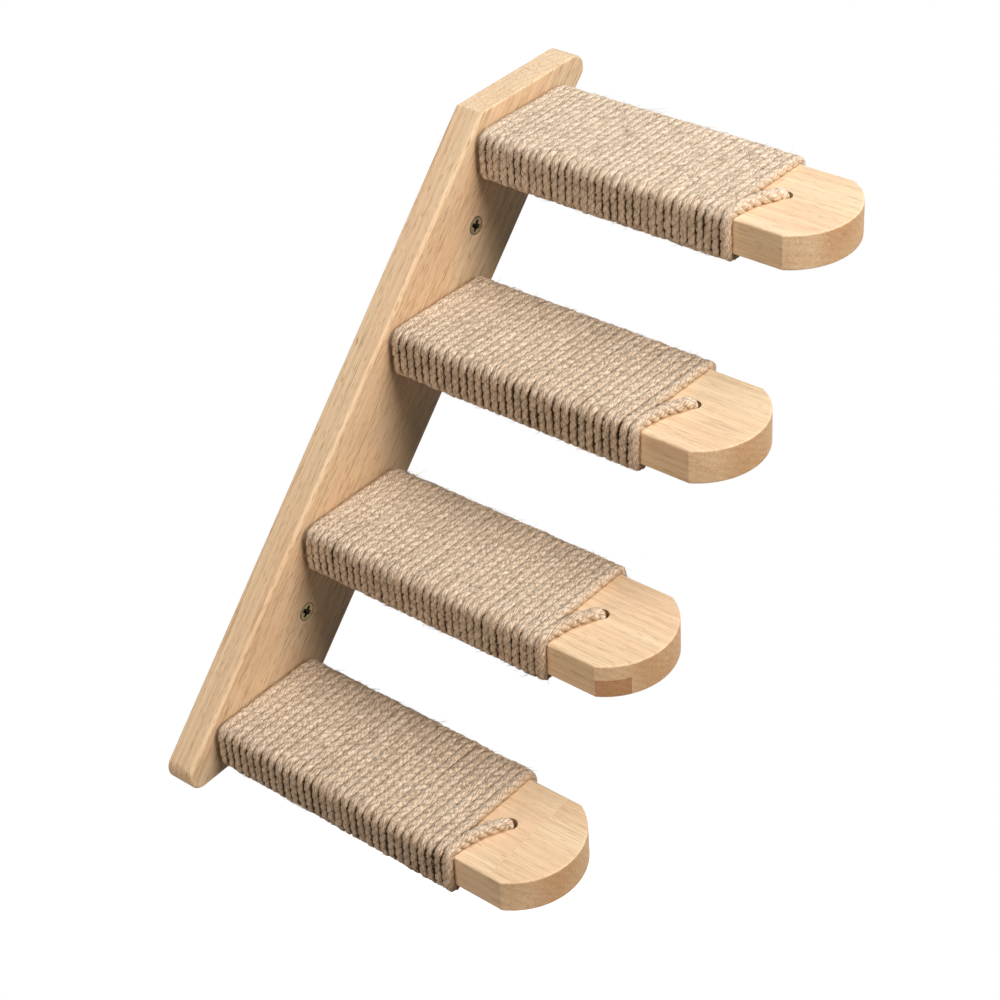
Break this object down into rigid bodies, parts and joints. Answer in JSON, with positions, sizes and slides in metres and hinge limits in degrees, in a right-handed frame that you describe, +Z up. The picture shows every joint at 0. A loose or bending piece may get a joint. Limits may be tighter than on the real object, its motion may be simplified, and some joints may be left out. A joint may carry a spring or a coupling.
{
  "type": "cat wall ladder",
  "caption": "Slanted wooden wall board with flat wooden steps for a cat to climb, each step wound with jute rope up to a bare rounded tip.",
  "frame": {"origin": "middle of the board's back face, on the wall", "axes": "+Y into the wall, along the normal of the board's back face; +Z up; X along the wall, the board leaning towards +X going up; the steps stand out towards -Y"},
  "size_m": [0.3224, 0.2294, 0.2546],
  "materials": {
    "board_wood": "sanded pale rubberwood with a thin matt oil",
    "step_wood": "sanded pale rubberwood with a thin matt oil",
    "jute_rope": "twisted natural jute rope",
    "wall_screw_steel": "yellow zinc plated steel",
    "step_screw_steel": "yellow zinc plated steel"
  },
  "bodies": {
    "root": {"backboard": "board_wood", "step_plank_1": "step_wood", "step_plank_2": "step_wood", "step_plank_3": "step_wood", "step_plank_4": "step_wood", "step_rope_1": "jute_rope", "step_rope_2": "jute_rope", "step_rope_3": "jute_rope", "step_rope_4": "jute_rope", "wall_screw_upper": "wall_screw_steel", "wall_screw_lower": "wall_screw_steel", "step_screw_1_left": "step_screw_steel", "step_screw_1_right": "step_screw_steel", "step_screw_2_left": "step_screw_steel", "step_screw_2_right": "step_screw_steel", "step_screw_3_left": "step_screw_steel", "step_screw_3_right": "step_screw_steel", "step_screw_4_left": "step_screw_steel", "step_screw_4_right": "step_screw_steel"}
  },
  "joints": []
}
